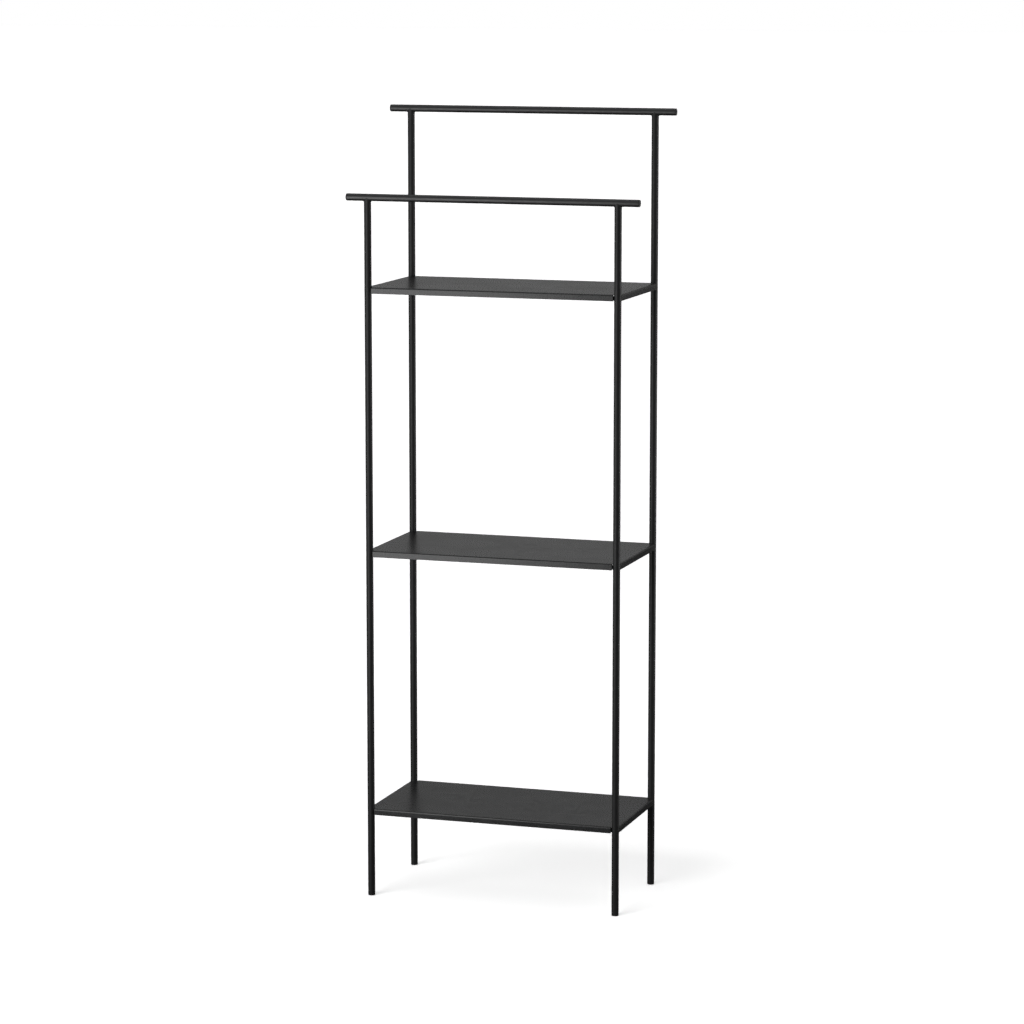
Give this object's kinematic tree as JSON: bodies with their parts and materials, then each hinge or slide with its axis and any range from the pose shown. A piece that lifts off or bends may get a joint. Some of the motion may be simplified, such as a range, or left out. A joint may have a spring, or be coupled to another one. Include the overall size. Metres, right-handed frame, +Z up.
{
  "type": "bathroom shelf rack with towel rails",
  "caption": "Tall, slim free-standing bathroom rack: round legs carry flat steel shelves, with a towel rail across the front legs and a higher one across the back legs.",
  "frame": {"origin": "centre of the rack's footprint, on the floor", "axes": "+X along the towel rails, to the right seen from the front; +Y from the front to the back; +Z up"},
  "size_m": [0.5, 0.226, 1.315],
  "materials": {
    "coated_steel": "satin black powder coat with a very fine texture",
    "black_plastic": "matt moulded plastic",
    "black_screw": "black zinc plating, satin",
    "zinc_steel": "turned and zinc plated"
  },
  "bodies": {
    "root": {"front_left_leg": "coated_steel", "front_right_leg": "coated_steel", "back_left_leg": "coated_steel", "back_right_leg": "coated_steel", "front_rail": "coated_steel", "back_rail": "coated_steel", "front_rail_left_cap": "black_plastic", "front_rail_right_cap": "black_plastic", "back_rail_left_cap": "black_plastic", "back_rail_right_cap": "black_plastic", "bottom_shelf": "coated_steel", "middle_shelf": "coated_steel", "top_shelf": "coated_steel", "bottom_front_left_bracket": "coated_steel", "bottom_front_right_bracket": "coated_steel", "bottom_back_left_bracket": "coated_steel", "bottom_back_right_bracket": "coated_steel", "middle_front_left_bracket": "coated_steel", "middle_front_right_bracket": "coated_steel", "middle_back_left_bracket": "coated_steel", "middle_back_right_bracket": "coated_steel", "top_front_left_bracket": "coated_steel", "top_front_right_bracket": "coated_steel", "top_back_left_bracket": "coated_steel", "top_back_right_bracket": "coated_steel", "front_left_bushes": "zinc_steel", "front_right_bushes": "zinc_steel", "back_left_bushes": "zinc_steel", "back_right_bushes": "zinc_steel", "bottom_shelf_screws": "black_screw", "middle_shelf_screws": "black_screw", "top_shelf_screws": "black_screw", "bottom_shelf_washers": "black_screw", "middle_shelf_washers": "black_screw", "top_shelf_washers": "black_screw", "front_left_glide": "black_plastic", "front_right_glide": "black_plastic", "back_left_glide": "black_plastic", "back_right_glide": "black_plastic"}
  },
  "joints": []
}
